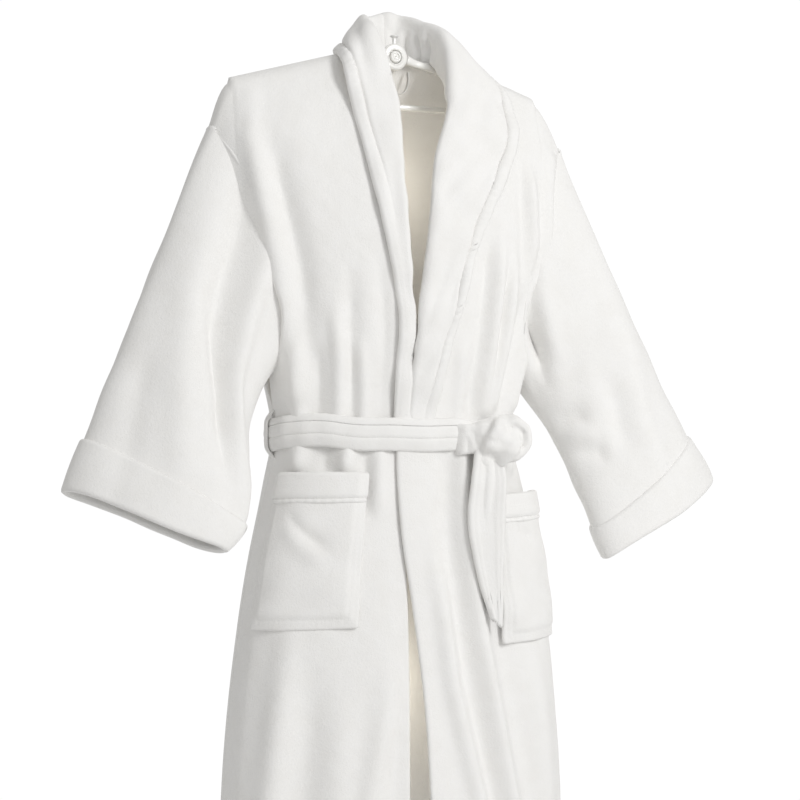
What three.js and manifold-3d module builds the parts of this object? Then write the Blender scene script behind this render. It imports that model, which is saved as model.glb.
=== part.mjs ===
// A plush bathrobe with a shawl collar, hung on a tubular hanger that turns on a short nail-head stem.
// Millimetres, +Z up, the front of the robe faces -Y, +X is the wearer's left.
// The origin is the centre of the stem's flat head, which is what holds everything up.
import * as THREE from 'three';
import { mergeVertices } from 'three/addons/utils/BufferGeometryUtils.js';
import Module from 'manifold-3d';

const wasm = await Module();
wasm.setup();

// ---------------------------------------------------------------- driving dimensions
const clothThickness = 8;          // body cloth with its pile, both faces
const collarThickness = 5;         // two thin layers of cloth, rolled
const seamGap = 0.4;               // between pieces that are sewn or rest together

const hemLevel = -1215;            // bottom edge of the robe
const flapTopLevel = -842;         // the lower fronts swing open below this level
const beltLevel = -541;            // middle of the belt
const beltWidth = 38;
const beltThickness = 9;

const neckHalfWidth = 84;          // where the shoulder seams start
const neckPointLevel = -33;
const shoulderHalfWidth = 232;     // where the cloth turns down over the hanger's ends
const shoulderLevel = -80;
const armholeTopHalfWidth = 262;   // the sleeve seam drops past the shoulder
const armholeTopLevel = -147;
const underarmHalfWidth = 195;
const underarmLevel = -420;

const cuffDepth = 66;
const sleeveWall = 7;
const pocketHeight = 200;
const pocketBandHeight = 30;
const pocketSlack = 13;            // room inside a pocket
const pocketCloth = 5;

const hubRadius = 18.5;
const hubThickness = 12;
const eyeRadius = 8.8;
const hubLevel = -30;
const stemRadius = 3;
const armRadius = 5;
const barRadius = 4;
const barLevel = -101;

// ---------------------------------------------------------------- colours
const terry = new THREE.MeshStandardMaterial({ color: 0xf4f2ee, roughness: 0.95, metalness: 0 });
const tape = new THREE.MeshStandardMaterial({ color: 0xf1efe9, roughness: 0.8, metalness: 0 });
const plastic = new THREE.MeshStandardMaterial({ color: 0xf3f2ec, roughness: 0.35, metalness: 0 });
const steel = new THREE.MeshStandardMaterial({ color: 0xc9c9c6, roughness: 0.3, metalness: 1 });

const robe = new THREE.Group();
const V = (x, y, z) => new THREE.Vector3(x, y, z);

function add(name, geometry, material) {
  const mesh = new THREE.Mesh(geometry, material);
  mesh.name = name;
  robe.add(mesh);
  return mesh;
}

// ---------------------------------------------------------------- interpolation
// A smooth value through [place, value] pairs listed from high to low place.
function through(pairs, place) {
  if (place >= pairs[0][0]) return pairs[0][1];
  const last = pairs.length - 1;
  for (let k = 0; k < last; k++) {
    if (place >= pairs[k + 1][0]) {
      const t = (pairs[k][0] - place) / (pairs[k][0] - pairs[k + 1][0]);
      const before = pairs[Math.max(k - 1, 0)][1];
      const after = pairs[Math.min(k + 2, last)][1];
      const here = pairs[k][1];
      const next = pairs[k + 1][1];
      const slopeHere = (next - before) / 2;
      const slopeNext = (after - here) / 2;
      const t2 = t * t;
      const t3 = t2 * t;
      return (2 * t3 - 3 * t2 + 1) * here + (t3 - 2 * t2 + t) * slopeHere
        + (3 * t2 - 2 * t3) * next + (t3 - t2) * slopeNext;
    }
  }
  return pairs[last][1];
}

const mix = (a, b, t) => a + (b - a) * t;
const smooth = (t) => {
  const c = Math.min(Math.max(t, 0), 1);
  return c * c * (3 - 2 * c);
};

// ---------------------------------------------------------------- closed solids from surfaces
function closedGeometry(positions, triangles) {
  const geometry = new THREE.BufferGeometry();
  geometry.setAttribute('position', new THREE.Float32BufferAttribute(positions, 3));
  let volume = 0;
  const a = new THREE.Vector3();
  const b = new THREE.Vector3();
  const c = new THREE.Vector3();
  for (let k = 0; k < triangles.length; k += 3) {
    a.fromArray(positions, triangles[k] * 3);
    b.fromArray(positions, triangles[k + 1] * 3);
    c.fromArray(positions, triangles[k + 2] * 3);
    volume += a.dot(b.cross(c));
  }
  geometry.setIndex(volume > 0 ? triangles : triangles.reverse());
  return geometry;
}

// Two matching grids of points, one for each face, closed by rims. A grid may close on itself in u.
function betweenGrids(columns, rows, faceA, faceB, closedInU = false) {
  const positions = [];
  const triangles = [];
  for (const face of [faceA, faceB]) {
    for (let j = 0; j < rows; j++) {
      for (let i = 0; i < columns; i++) positions.push(...face(i, j).toArray());
    }
  }
  const id = (side, i, j) => side * columns * rows + j * columns + (i % columns);
  const quad = (p, q, r, s) => triangles.push(p, q, r, p, r, s);
  const lastColumn = closedInU ? columns : columns - 1;
  for (let j = 0; j < rows - 1; j++) {
    for (let i = 0; i < lastColumn; i++) {
      quad(id(0, i, j), id(0, i + 1, j), id(0, i + 1, j + 1), id(0, i, j + 1));
      quad(id(1, i, j), id(1, i, j + 1), id(1, i + 1, j + 1), id(1, i + 1, j));
    }
  }
  for (let i = 0; i < lastColumn; i++) {
    quad(id(0, i, 0), id(1, i, 0), id(1, i + 1, 0), id(0, i + 1, 0));
    quad(id(0, i, rows - 1), id(0, i + 1, rows - 1), id(1, i + 1, rows - 1), id(1, i, rows - 1));
  }
  if (!closedInU) {
    for (let j = 0; j < rows - 1; j++) {
      quad(id(0, 0, j), id(0, 0, j + 1), id(1, 0, j + 1), id(1, 0, j));
      const e = columns - 1;
      quad(id(0, e, j), id(1, e, j), id(1, e, j + 1), id(0, e, j + 1));
    }
  }
  return closedGeometry(positions, triangles);
}

// The unit normal of a surface given as a function of u and v.
function normalOf(surface, u, v) {
  const step = 0.004;
  const u0 = Math.max(u - step, 0);
  const u1 = Math.min(u + step, 1);
  const v0 = Math.max(v - step, 0);
  const v1 = Math.min(v + step, 1);
  const du = surface(u1, v).sub(surface(u0, v));
  const dv = surface(u, v1).sub(surface(u, v0));
  return du.cross(dv).normalize();
}

const offsetPoint = (surface, u, v, distance) =>
  surface(u, v).addScaledVector(normalOf(surface, u, v), distance);

// A sheet of even thickness about a middle surface.
function sheet(columns, rows, surface, thickness) {
  const at = (i, j, d) => offsetPoint(surface, i / (columns - 1), j / (rows - 1), d);
  return betweenGrids(columns, rows, (i, j) => at(i, j, thickness / 2), (i, j) => at(i, j, -thickness / 2));
}

// ---------------------------------------------------------------- the hanging body of the robe
const halfWidths = [
  [armholeTopLevel, armholeTopHalfWidth], [-228, 243], [-300, 225], [underarmLevel, underarmHalfWidth],
  [-485, 185], [beltLevel, 183], [-610, 194], [-700, 211], [-842, 228], [hemLevel, 252],
];
const frontDepths = [
  [shoulderLevel, 62], [-250, 84], [-420, 82], [beltLevel, 76], [-610, 80], [-700, 87], [-842, 95], [hemLevel, 106],
];
const backDepths = [
  [shoulderLevel, 55], [-250, 72], [-420, 72], [beltLevel, 68], [-610, 72], [-700, 79], [-842, 86], [hemLevel, 98],
];
const halfWidth = (z) => through(halfWidths, z);
const depthOf = (facing, z) => through(facing < 0 ? frontDepths : backDepths, z);
const seamHalfDepth = clothThickness / 2 + seamGap;
// Down to the underarm the two cloths lie face to face; below it they meet edge to edge at the side.
function restDepth(cosine, z) {
  const sewn = smooth((underarmLevel - z) / 60);
  return mix(seamHalfDepth, mix(seamGap, seamHalfDepth, Math.min(cosine * 4, 1)), sewn);
}

// Height of the shoulder seam over a place x, out to the top of the armhole.
function shoulderHeight(x) {
  const r = Math.abs(x);
  if (r < shoulderHalfWidth) {
    const t = (r - neckHalfWidth) / (shoulderHalfWidth - neckHalfWidth);
    return mix(neckPointLevel, shoulderLevel, Math.max(t, 0));
  }
  const t = (r - shoulderHalfWidth) / (armholeTopHalfWidth - shoulderHalfWidth);
  return mix(shoulderLevel, armholeTopLevel, Math.min(t, 1) ** 1.3);
}

// Distance of the front (facing -1) or back (facing +1) cloth from the hanger's plane.
function clothDepth(facing, x, z) {
  const below = Math.max(shoulderHeight(x) - z, 0);
  const spread = 1 - Math.exp(-below / 60);
  const across = Math.min(Math.abs(x) / halfWidth(z), 1);
  const cosine = Math.sqrt(1 - across * across);
  return restDepth(cosine, z) + depthOf(facing, z) * spread * cosine;
}

// Where each front's own edge runs, from the neck down to the belt and on to the hem.
const rightEdge = [
  [neckPointLevel, -neckHalfWidth], [-70, -66], [-130, -42], [-200, -32], [-300, -30], [beltLevel, -30],
  [flapTopLevel, -29], [hemLevel, -26],
];
const leftEdge = [
  [neckPointLevel, neckHalfWidth], [-70, 72], [-130, 40], [-200, 18], [-300, 4], [beltLevel, -14],
  [flapTopLevel, -14], [hemLevel, 12],
];
const edgeOf = (side, z) => through(side > 0 ? leftEdge : rightEdge, z);

// Share of the half-width that a piece reaches: all of it at the side seam, less beside an armhole.
const armholeReach = (z) => (z < underarmLevel - 8 ? 1 : 0.985);

// A front as a surface: u runs from its edge to the side, v from the shoulder down.
function frontSurface(side, topLevel, bottomLevel) {
  return (u, v) => {
    const xTop = side * mix(neckHalfWidth, armholeTopHalfWidth - 3, u);
    const zTop = topLevel ?? shoulderHeight(xTop);
    const z = mix(zTop, bottomLevel, v);
    const edge = edgeOf(side, z);
    const reach = halfWidth(z) * armholeReach(z);
    const turn = mix(Math.asin(side * edge / reach), Math.PI / 2, u);
    const xBody = side * reach * Math.sin(turn);
    const x = topLevel === undefined ? mix(xTop, xBody, smooth(v / 0.3)) : xBody;
    return V(x, -clothDepth(-1, x, z), z);
  };
}

function backSurface(u, v) {
  const xTop = mix(-1, 1, u) * (armholeTopHalfWidth - 3);
  const zTop = Math.abs(xTop) < neckHalfWidth ? neckPointLevel - 6 : shoulderHeight(xTop);
  const z = mix(zTop, hemLevel, v);
  const xBody = halfWidth(z) * armholeReach(z) * Math.sin(mix(-1, 1, u) * Math.PI / 2);
  const x = mix(xTop, xBody, smooth(v / 0.25));
  return V(x, clothDepth(1, x, z), z);
}

add('back_panel', sheet(23, 25, backSurface, clothThickness), terry);
for (const [name, side] of [['right', -1], ['left', 1]]) {
  const front = frontSurface(side, undefined, flapTopLevel);
  add(`front_panel_${name}`, sheet(13, 21, front, clothThickness), terry);
  const flap = frontSurface(side, flapTopLevel - 2.5 * seamGap, hemLevel);
  add(`front_flap_${name}`, sheet(13, 9, flap, clothThickness), terry);
}

// ---------------------------------------------------------------- shawl collar
// Each station gives the neck seam, the top of the roll and the outer edge. Down the front the
// collar lies on the panel, so only x and height are given there and the depth follows the cloth.
const onFront = (x, z, lift) => V(x, -clothDepth(-1, x, z) - lift, z);
const lapelLift = clothThickness / 2 + collarThickness / 2 + 5;
function collarStations(side) {
  const outer = side > 0
    ? [[132, -116], [124, -165], [84, -255], [44, -400], [24, -516]]
    : [[-122, -116], [-104, -165], [-84, -255], [-66, -400], [-60, -516]];
  const stations = [
    { seam: V(0, 52, -34), roll: V(0, 58, 36), edge: V(0, 92, -26) },
    { seam: V(side * 46, 44, -32), roll: V(side * 44, 48, 34), edge: V(side * 84, 78, -32) },
    { seam: V(side * 68, 6, -24), roll: V(side * 66, 6, 26), edge: V(side * 126, 22, -26) },
    { seam: V(side * 68, -22, -40), roll: V(side * 68, -32, -8), edge: V(side * 138, -38, -62) },
  ];
  for (const [x, z] of outer) {
    const rollX = edgeOf(side, z);
    const roll = onFront(rollX, z, lapelLift);
    stations.push({ seam: roll.clone(), roll, edge: onFront(x, z, lapelLift) });
  }
  return stations;
}

function collarSurface(side) {
  const stations = collarStations(side);
  const paths = {};
  for (const key of ['seam', 'roll', 'edge']) {
    paths[key] = new THREE.CatmullRomCurve3(stations.map((s) => s[key]), false, 'centripetal');
  }
  return (u, v) => {
    const seam = paths.seam.getPoint(v);
    const roll = paths.roll.getPoint(v);
    const edge = paths.edge.getPoint(v);
    const stand = seam.distanceTo(roll) / (seam.distanceTo(roll) + roll.distanceTo(edge));
    if (u < stand) return seam.lerp(roll, u / stand);
    return roll.lerp(edge, (u - stand) / (1 - stand));
  };
}

// Rounds the roll by taking the mean of nearby places across the collar.
function roundedAcross(surface, spread) {
  return (u, v) => {
    const sum = V(0, 0, 0);
    const offsets = [-1, -0.5, 0, 0.5, 1];
    for (const o of offsets) {
      const room = Math.min(spread, u, 1 - u);
      sum.add(surface(u + o * room, v));
    }
    return sum.divideScalar(offsets.length);
  };
}

for (const [name, side] of [['right', -1], ['left', 1]]) {
  const surface = roundedAcross(collarSurface(side), 0.2);
  const columns = 11;
  const rows = 25;
  const face = (distance) => (i, j) => {
    const p = offsetPoint(surface, i / (columns - 1), j / (rows - 1), distance);
    if (j === 0) p.x = side * seamGap / 2;
    return p;
  };
  add(`collar_${name}`, betweenGrids(columns, rows, face(collarThickness / 2), face(-collarThickness / 2)), terry);
}

// ---------------------------------------------------------------- sleeves and cuffs
// A sleeve is a flattened tube. Its top edge runs from the shoulder to the outer cuff corner,
// its bottom edge from the underarm to the inner cuff corner.
const sleeveTop = [V(armholeTopHalfWidth + 6, 0, armholeTopLevel - 2), V(473, -55, -616)];
const sleeveBottom = [V(underarmHalfWidth + 7, -14, underarmLevel - 6), V(277, -116, -700)];
const sleeveLength = sleeveTop[0].distanceTo(sleeveTop[1]);

function sleevePoint(side, along, turn, inset) {
  const top = sleeveTop[0].clone().lerp(sleeveTop[1], along);
  const bottom = sleeveBottom[0].clone().lerp(sleeveBottom[1], along);
  const wide = top.clone().sub(bottom).multiplyScalar(0.5);
  const run = sleeveTop[1].clone().sub(sleeveTop[0]).normalize();
  const thin = wide.clone().cross(run).normalize();
  const puff = mix(30, 38, Math.sin(Math.PI * Math.min(along * 0.8 + 0.1, 1)));
  const centre = top.clone().add(bottom).multiplyScalar(0.5);
  const wideHalf = wide.length() - inset;
  const p = centre.addScaledVector(wide.normalize(), wideHalf * Math.cos(turn));
  p.addScaledVector(thin, (puff - inset) * Math.sin(turn));
  p.x *= side;
  return p;
}

function tube(side, from, to, rings, wall, proud) {
  const sides = 24;
  const at = (i, j, inset) =>
    sleevePoint(side, mix(from, to, j / (rings - 1)), (2 * Math.PI * i) / sides, inset);
  return betweenGrids(sides, rings, (i, j) => at(i, j, -proud), (i, j) => at(i, j, wall - proud), true);
}

const cuffStart = 1 - cuffDepth / sleeveLength;
for (const [name, side] of [['right', -1], ['left', 1]]) {
  add(`sleeve_${name}`, tube(side, 0, cuffStart, 9, sleeveWall, 0), terry);
  add(`cuff_${name}`, tube(side, cuffStart + 2 * seamGap / sleeveLength, 1, 3, sleeveWall + 3, 1.5), terry);
}

// ---------------------------------------------------------------- patch pockets
// A pocket follows the front it is sewn to. Its rims stand on the cloth, its middle stands clear.
function pocketSurface(side, innerX, topLevel) {
  return (u, v) => {
    const z = mix(topLevel, topLevel - pocketHeight, v);
    const reach = halfWidth(z);
    const start = Math.asin(innerX / reach);
    const turn = mix(start, mix(start, Math.PI / 2, 0.92), u);
    const x = side * reach * Math.sin(turn);
    return V(x, -clothDepth(-1, x, z), z);
  };
}

const pocketColumns = [0, 0.055, 0.06, 0.2, 0.35, 0.5, 0.65, 0.8, 0.94, 0.945, 1];
const pocketRows = [0, 0.15, 0.3, 0.5, 0.7, 0.85, 0.955, 0.96, 1];
const pocketFoot = clothThickness / 2 + 1.2;
for (const [name, side, innerX, topLevel] of [['right', -1, 91, -592], ['left', 1, 118, -626]]) {
  const surface = pocketSurface(side, innerX, topLevel);
  const outwards = Math.sign(-normalOf(surface, 0.2, 0.5).y);
  const inside = (i, j) => i > 1 && i < pocketColumns.length - 2 && j < pocketRows.length - 2;
  const at = (i, j, lift) => offsetPoint(surface, pocketColumns[i], pocketRows[j], outwards * lift);
  const outerLift = pocketFoot + pocketSlack + pocketCloth;
  const innerLift = (i, j) => (inside(i, j) ? pocketFoot + pocketSlack : pocketFoot);
  add(`pocket_${name}`, betweenGrids(pocketColumns.length, pocketRows.length,
    (i, j) => at(i, j, outerLift), (i, j) => at(i, j, innerLift(i, j))), terry);
  const bandShare = pocketBandHeight / pocketHeight;
  const bandLift = outerLift + 2 * seamGap;
  const bandAt = (i, j, lift) => offsetPoint(surface, i / 10, mix(0.004, bandShare, j / 2), outwards * lift);
  add(`pocket_band_${name}`, betweenGrids(11, 3, (i, j) => bandAt(i, j, bandLift + 3),
    (i, j) => bandAt(i, j, bandLift)), terry);
}

// ---------------------------------------------------------------- belt
const beltLift = clothThickness / 2 + 4.6;
function ringPoint(turn, lift, level) {
  const facing = Math.cos(turn) > 0 ? -1 : 1;
  const wide = halfWidth(beltLevel);
  const deep = depthOf(facing, beltLevel);
  const cosine = Math.abs(Math.cos(turn)) < 1e-6 ? 0 : Math.cos(turn);
  const outwards = V(deep * Math.sin(turn), -wide * cosine, 0).normalize();
  const middle = V(wide * Math.sin(turn), -deep * cosine, level);
  middle.y -= Math.sign(cosine) * restDepth(Math.abs(cosine), beltLevel);
  return middle.addScaledVector(outwards, lift);
}
const beltRounds = 48;
const beltFace = (lift) => (i, j) =>
  ringPoint((2 * Math.PI * i) / beltRounds, lift, beltLevel + beltWidth * (0.5 - j));
add('belt_wrap', betweenGrids(beltRounds, 2, beltFace(beltLift + beltThickness), beltFace(beltLift), true), terry);

const knotX = 104;
const knotHalf = V(40, 15, 30);
const beltFrontDepth = (x) => {
  const turn = Math.asin(x / (halfWidth(beltLevel) + beltLift + beltThickness));
  return -ringPoint(turn, beltLift + beltThickness, 0).y;
};
const knotY = -(beltFrontDepth(knotX - 26) + knotHalf.y + 1);
const knot = new THREE.SphereGeometry(1, 18, 12).scale(knotHalf.x, knotHalf.y, knotHalf.z);
knot.deleteAttribute('normal');
knot.deleteAttribute('uv');
add('belt_knot', mergeVertices(knot.translate(knotX, knotY, beltLevel - 8)), terry);

// The two tails hang under the knot, one in front of the other.
function beltTail(name, x, y, top, length, lean) {
  const surface = (u, v) => V(x + mix(-0.5, 0.5, u) * (beltWidth + 4) + lean * v, y - 8 * v, top - length * v);
  add(name, sheet(5, 9, surface, beltThickness - 1), terry);
}
const tailTop = beltLevel - 8 - knotHalf.z - 5;
beltTail('belt_tail_front', 82, knotY - 3, tailTop, 218, 5);
beltTail('belt_tail_back', 88, knotY + 8, tailTop, 196, 4);

// Belt loops at the side seams: a narrow strap that stands round the belt.
const loopReach = halfWidth(beltLevel) + beltLift + beltThickness;
const loopFoot = halfWidth(beltLevel) + clothThickness / 2 + 5.6;
for (const [name, side] of [['right', -1], ['left', 1]]) {
  const shape = new THREE.Shape();
  const half = beltWidth / 2;
  shape.moveTo(loopFoot, half + 1);
  shape.lineTo(loopReach + 1, half + 1);
  shape.lineTo(loopReach + 1, -half - 1);
  shape.lineTo(loopFoot, -half - 1);
  shape.lineTo(loopFoot, -half - 5);
  shape.lineTo(loopReach + 4, -half - 5);
  shape.lineTo(loopReach + 4, half + 5);
  shape.lineTo(loopFoot, half + 5);
  const strap = new THREE.ExtrudeGeometry(shape, { depth: 9, bevelEnabled: false });
  strap.translate(0, 0, -4.5).rotateX(Math.PI / 2);
  if (side < 0) strap.rotateZ(Math.PI);
  const mesh = add(`belt_loop_${name}`, strap, terry);
  mesh.position.z = beltLevel;
}

// ---------------------------------------------------------------- hanging loop in the back of the neck
// Tape that leaves the neck seam, hangs down and comes back up, drawn as a flat U.
const loopHalf = 28;
const loopDrop = 34;
const tapeWide = 6;
const loopOutline = new THREE.Shape();
loopOutline.moveTo(-loopHalf, 0);
loopOutline.lineTo(-loopHalf, -loopDrop + 14);
loopOutline.quadraticCurveTo(-loopHalf, -loopDrop, -loopHalf + 16, -loopDrop);
loopOutline.lineTo(loopHalf - 16, -loopDrop);
loopOutline.quadraticCurveTo(loopHalf, -loopDrop, loopHalf, -loopDrop + 14);
loopOutline.lineTo(loopHalf, 0);
loopOutline.lineTo(loopHalf - tapeWide, 0);
loopOutline.lineTo(loopHalf - tapeWide, -loopDrop + 14);
loopOutline.quadraticCurveTo(loopHalf - tapeWide, -loopDrop + tapeWide, loopHalf - 16, -loopDrop + tapeWide);
loopOutline.lineTo(-loopHalf + 16, -loopDrop + tapeWide);
loopOutline.quadraticCurveTo(-loopHalf + tapeWide, -loopDrop + tapeWide, -loopHalf + tapeWide, -loopDrop + 14);
loopOutline.lineTo(-loopHalf + tapeWide, 0);
const loopTape = new THREE.ExtrudeGeometry(loopOutline, { depth: 2, bevelEnabled: false, curveSegments: 6 });
const hangingLoop = add('hanging_loop', loopTape, tape);
hangingLoop.rotation.x = Math.PI / 2;
hangingLoop.position.set(0, 8.6, -47);

// ---------------------------------------------------------------- hanger
function solidOf(geometry) {
  const bare = geometry.clone();
  bare.deleteAttribute('normal');
  bare.deleteAttribute('uv');
  const merged = mergeVertices(bare);
  return new wasm.Manifold(new wasm.Mesh({
    numProp: 3,
    vertProperties: new Float32Array(merged.attributes.position.array),
    triVerts: new Uint32Array(merged.index.array),
  }));
}

function geometryOf(solid) {
  const mesh = solid.getMesh();
  const geometry = new THREE.BufferGeometry();
  geometry.setAttribute('position', new THREE.BufferAttribute(mesh.vertProperties, 3));
  geometry.setIndex(new THREE.BufferAttribute(mesh.triVerts, 1));
  return geometry;
}

const disc = (radius, length, sides = 40) => new THREE.CylinderGeometry(radius, radius, length, sides);

// The hub is a round plate with an eye through it and a socket for the stem in its top.
const plate = solidOf(disc(hubRadius, hubThickness).translate(0, 0, 0));
const eye = solidOf(disc(eyeRadius, hubThickness + 2));
const socketDepth = 6;
const socket = disc(stemRadius + 0.3, socketDepth + 2, 24).rotateX(Math.PI / 2);
socket.translate(0, 0, hubRadius - socketDepth / 2 + 1);
const hub = add('hanger_hub', geometryOf(plate.subtract(eye).subtract(solidOf(socket))), plastic);
hub.position.z = hubLevel;

const button = add('hub_button', new THREE.LatheGeometry([
  [0, -4], [8.2, -4], [8.2, 5], [7.4, 6.2], [3, 6.8], [0, 6.8],
].map(([r, y]) => new THREE.Vector2(r, y)), 32), plastic);
button.rotation.x = Math.PI;
button.position.z = hubLevel;

const stemFoot = hubLevel + hubRadius - socketDepth + 0.4;
const stem = add('hanger_stem', new THREE.LatheGeometry([
  [0, stemFoot], [stemRadius, stemFoot], [stemRadius, -3.4], [6.2, -2.6], [6.2, -0.6], [5.6, 0], [0, 0],
].map(([r, z]) => new THREE.Vector2(r, z)), 28), steel);
stem.rotation.x = Math.PI / 2;

function rod(points, radius, sides, steps) {
  const section = new THREE.Shape();
  for (let k = 0; k < sides; k++) {
    const a = (2 * Math.PI * k) / sides;
    const x = radius * Math.cos(a);
    const y = radius * Math.sin(a);
    if (k === 0) section.moveTo(x, y);
    else section.lineTo(x, y);
  }
  const path = new THREE.CatmullRomCurve3(points, false, 'centripetal');
  return new THREE.ExtrudeGeometry(section, { steps, bevelEnabled: false, extrudePath: path });
}

const armEnd = 214;
for (const [name, side] of [['right', -1], ['left', 1]]) {
  const points = [
    V(side * 19.2, 0, -33), V(side * 60, 0, -43), V(side * 120, 0, -60), V(side * 180, 0, -80),
    V(side * 205, 0, -92), V(side * armEnd, 0, barLevel),
  ];
  add(`hanger_arm_${name}`, rod(points, armRadius, 12, 24), plastic);
}
const barEnd = armEnd - 13;
add('hanger_bar', rod([V(-barEnd, 0, barLevel), V(0, 0, barLevel - 2), V(barEnd, 0, barLevel)],
  barRadius, 12, 20), plastic);

export default robe;
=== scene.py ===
"""A plush bathrobe on a hanger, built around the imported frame. Metres, +Z up, front -Y, wearer's left +X."""
import math

import bpy
import numpy as np
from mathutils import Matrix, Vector


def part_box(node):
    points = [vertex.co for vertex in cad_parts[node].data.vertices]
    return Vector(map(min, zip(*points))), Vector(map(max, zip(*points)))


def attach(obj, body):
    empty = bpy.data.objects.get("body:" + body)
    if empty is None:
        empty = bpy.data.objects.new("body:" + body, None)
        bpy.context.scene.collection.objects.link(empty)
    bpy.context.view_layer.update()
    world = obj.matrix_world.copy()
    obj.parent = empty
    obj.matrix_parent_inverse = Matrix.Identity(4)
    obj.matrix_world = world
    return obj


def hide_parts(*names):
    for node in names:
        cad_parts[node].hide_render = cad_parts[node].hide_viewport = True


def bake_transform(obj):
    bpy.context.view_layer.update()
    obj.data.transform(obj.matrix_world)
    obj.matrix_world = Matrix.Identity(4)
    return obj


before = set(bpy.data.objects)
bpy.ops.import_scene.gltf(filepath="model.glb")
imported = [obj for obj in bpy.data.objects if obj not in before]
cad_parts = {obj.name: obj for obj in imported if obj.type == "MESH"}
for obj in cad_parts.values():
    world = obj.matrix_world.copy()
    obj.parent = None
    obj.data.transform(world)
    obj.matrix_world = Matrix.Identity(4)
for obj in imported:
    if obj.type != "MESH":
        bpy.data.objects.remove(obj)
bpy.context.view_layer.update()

# --- sizes read from the frame
BELT_LOW, BELT_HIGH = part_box("belt_wrap")
BELT_LEVEL = (BELT_LOW.z + BELT_HIGH.z) / 2
BELT_WIDTH = BELT_HIGH.z - BELT_LOW.z
HEM_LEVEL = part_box("back_panel")[0].z
HUB_LOW, HUB_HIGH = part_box("hanger_hub")
HUB_LEVEL = (HUB_LOW.z + HUB_HIGH.z) / 2
KNOT_LOW, KNOT_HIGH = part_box("belt_knot")
KNOT_CENTRE = (KNOT_LOW + KNOT_HIGH) / 2

CLOTH = 0.0065
SEAM_GAP = 0.0006
HEM_LIFT = 0.003
NECK_HALF, NECK_LEVEL = 0.078, -0.033
SHOULDER_HALF, SHOULDER_LEVEL = {-1: 0.248, 1: 0.229}, {-1: -0.081, 1: -0.079}
ARM_TOP_HALF, ARM_TOP_LEVEL = 0.263, -0.147
UNDERARM_LEVEL = -0.462
SIDES = {"right": -1, "left": 1}

# level and half the width there, top to hem; the depths and edges below are listed the same way
HALF_WIDTHS = [(-0.147, 0.263), (-0.228, 0.244), (-0.30, 0.226), (-0.42, 0.194), (-0.485, 0.178), (-0.541,
                                                                                                   0.167),
               (-0.61, 0.182), (-0.70, 0.204), (-0.842, 0.227), (-1.215, 0.252)]
FRONT_DEPTHS = [(-0.08, 0.052), (-0.16, 0.070), (-0.25, 0.083), (-0.42, 0.086), (-0.541, 0.077), (-0.61,
                                                                                                  0.084),
                (-0.70, 0.090), (-0.842, 0.097), (-1.215, 0.108)]
BACK_DEPTHS = [(-0.08, 0.046), (-0.16, 0.058), (-0.25, 0.068), (-0.42, 0.066), (-0.541, 0.050), (-0.61,
                                                                                                 0.053),
               (-0.70, 0.058), (-0.842, 0.068), (-1.215, 0.086)]
# level and x of each front's free edge, -1 the wearer's right
EDGES = {
    -1: [(-0.033, -0.078), (-0.07, -0.064), (-0.13, -0.052), (-0.20, -0.042), (-0.30, -0.035), (-0.541,
                                                                                                -0.031),
         (-0.70, -0.030), (-0.842, -0.029), (-1.215, -0.033)],
    1: [(-0.033, 0.078), (-0.07, 0.066), (-0.13, 0.040), (-0.20, 0.022), (-0.30, 0.004), (-0.42, -0.012),
        (-0.541, -0.034), (-0.66, -0.034), (-0.76, -0.021), (-0.888, -0.006), (-1.012, 0.002), (-1.215,
                                                                                                0.012)],
}
# how much of the half width the body keeps beside the sleeve
REACH = [(-0.147, 1.0), (-0.19, 0.935), (-0.24, 0.885), (-0.30, 0.862), (-0.38, 0.872), (-0.43, 0.93),
         (-0.462, 1.0)]


# --- numbers along a line
def through(pairs, places):
    """A smooth value through (place, value) pairs listed from high to low place."""
    xs = -np.array([p[0] for p in pairs])
    ys = np.array([p[1] for p in pairs])
    t = np.clip(-np.asarray(places, float), xs[0], xs[-1])
    slopes = np.gradient(ys, xs)
    k = np.clip(np.searchsorted(xs, t, side="right") - 1, 0, len(xs) - 2)
    h = xs[k + 1] - xs[k]
    f = (t - xs[k]) / h
    f2, f3 = f * f, f * f * f
    return ((2 * f3 - 3 * f2 + 1) * ys[k] + (f3 - 2 * f2 + f) * h * slopes[k]
            + (3 * f2 - 2 * f3) * ys[k + 1] + (f3 - f2) * h * slopes[k + 1])


def smooth(t):
    c = np.clip(t, 0, 1)
    return c * c * (3 - 2 * c)


def bell(distance, width):
    return np.exp(-(distance / width) ** 2)


def mix(a, b, t):
    return a + (b - a) * t


def waves(a, b, length, seed, count=7):
    """Soft unrepeating relief, about -1 to 1, with features of about the given length."""
    rng = np.random.default_rng(seed)
    total = np.zeros(np.broadcast(a, b).shape)
    for _ in range(count):
        turn = rng.uniform(0, math.tau)
        size = length * rng.uniform(0.7, 1.5)
        shift = rng.uniform(0, math.tau)
        total += np.sin((a * math.cos(turn) + b * math.sin(turn)) * math.tau / size + shift)
    return total / math.sqrt(count)


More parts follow.
